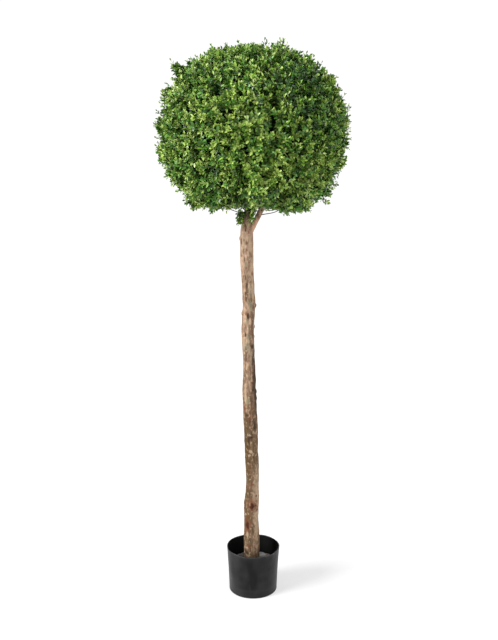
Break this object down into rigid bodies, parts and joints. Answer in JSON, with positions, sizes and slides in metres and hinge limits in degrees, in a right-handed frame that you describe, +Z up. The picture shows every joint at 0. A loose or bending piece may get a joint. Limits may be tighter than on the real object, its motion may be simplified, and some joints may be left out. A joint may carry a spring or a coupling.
{
  "type": "potted boxwood ball standard",
  "caption": "Clipped ball of small evergreen leaves on a bare, slightly leaning trunk, set in a grey fill in a small round dark pot that stands on its flat underside.",
  "frame": {"origin": "centre of the pot's flat underside", "axes": "+Z up along the plant, -Y towards the front, +X to the right of the front view"},
  "size_m": [0.5025, 0.5059, 1.4992],
  "materials": {
    "pot_plastic": "dull charcoal moulded plastic with a soft rim",
    "grey_fill": "rough grey cement",
    "bark": "pale brown bark with fine relief, knots and grey patches",
    "shoot": "thin grey-green stems",
    "foliage": "small oval leaves with a low sheen"
  },
  "bodies": {
    "root": {"pot": "pot_plastic", "fill": "grey_fill", "trunk": "bark", "bough_right": "bark", "shoot_right_low": "shoot", "shoot_right_high": "shoot", "shoot_left": "shoot", "shoot_back_left": "shoot", "shoot_back_right": "shoot", "sprig_left": "foliage", "sprig_fork": "foliage", "crown": "foliage"}
  },
  "joints": []
}
